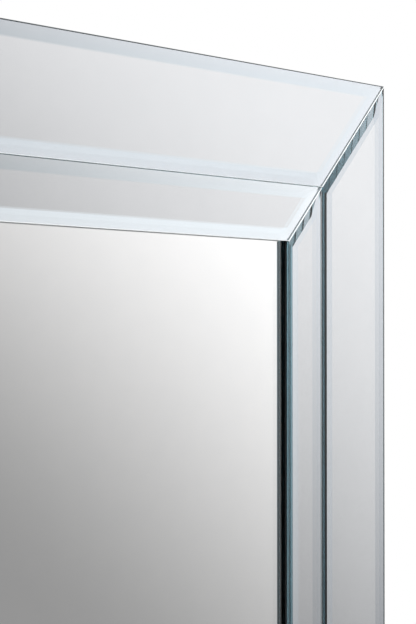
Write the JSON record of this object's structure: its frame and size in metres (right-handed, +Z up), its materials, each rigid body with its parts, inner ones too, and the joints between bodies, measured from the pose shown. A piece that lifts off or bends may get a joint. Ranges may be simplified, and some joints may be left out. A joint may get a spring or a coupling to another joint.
{
  "type": "full-length wall mirror",
  "caption": "Tall rectangular wall mirror: a set back flat plate in a mitred frame of two bands of bevelled mirror strips, hung on swinging rings at the back.",
  "frame": {"origin": "on the wall plane, midway between the two wall hooks, at the height where the rings bear", "axes": "+Z up, +Y into the wall, +X to the right seen from the front"},
  "size_m": [0.8, 0.025, 1.7],
  "materials": {
    "frame_mirror": "polished silvered glass with bevelled edges",
    "centre_mirror": "flat silvered glass",
    "black_board": "black painted fibreboard, matt",
    "black_tape": "black closed-cell foam tape",
    "zinc_steel": "bright zinc plated",
    "black_rubber": "soft black rubber"
  },
  "bodies": {
    "mirror": {"backboard": "black_board", "centre_mirror": "centre_mirror", "centre_tape": "black_tape", "hanger_screws": "zinc_steel", "hanger_strap_left": "zinc_steel", "hanger_strap_right": "zinc_steel", "inner_mirror_bottom": "frame_mirror", "inner_mirror_left": "frame_mirror", "inner_mirror_right": "frame_mirror", "inner_mirror_top": "frame_mirror", "inner_tape_bottom": "black_tape", "inner_tape_left": "black_tape", "inner_tape_right": "black_tape", "inner_tape_top": "black_tape", "outer_mirror_bottom": "frame_mirror", "outer_mirror_left": "frame_mirror", "outer_mirror_right": "frame_mirror", "outer_mirror_top": "frame_mirror", "outer_tape_bottom": "black_tape", "outer_tape_left": "black_tape", "outer_tape_right": "black_tape", "outer_tape_top": "black_tape", "packer_bottom": "black_board", "packer_left": "black_board", "packer_right": "black_board", "packer_screws": "zinc_steel", "packer_top": "black_board", "wall_bumpers": "black_rubber"},
    "ring_left": {"d_ring_left": "zinc_steel"},
    "ring_right": {"d_ring_right": "zinc_steel"}
  },
  "joints": [
    {"name": "ring_left_swing", "type": "hinge", "parent": "mirror", "child": "ring_left", "pos_m": [-0.28, -0.00325, -0.01548], "axis": [-1, 0, 0], "range_deg": [0, 180]},
    {"name": "ring_right_swing", "type": "hinge", "parent": "mirror", "child": "ring_right", "pos_m": [0.28, -0.00325, -0.01548], "axis": [-1, 0, 0], "range_deg": [0, 180]}
  ]
}
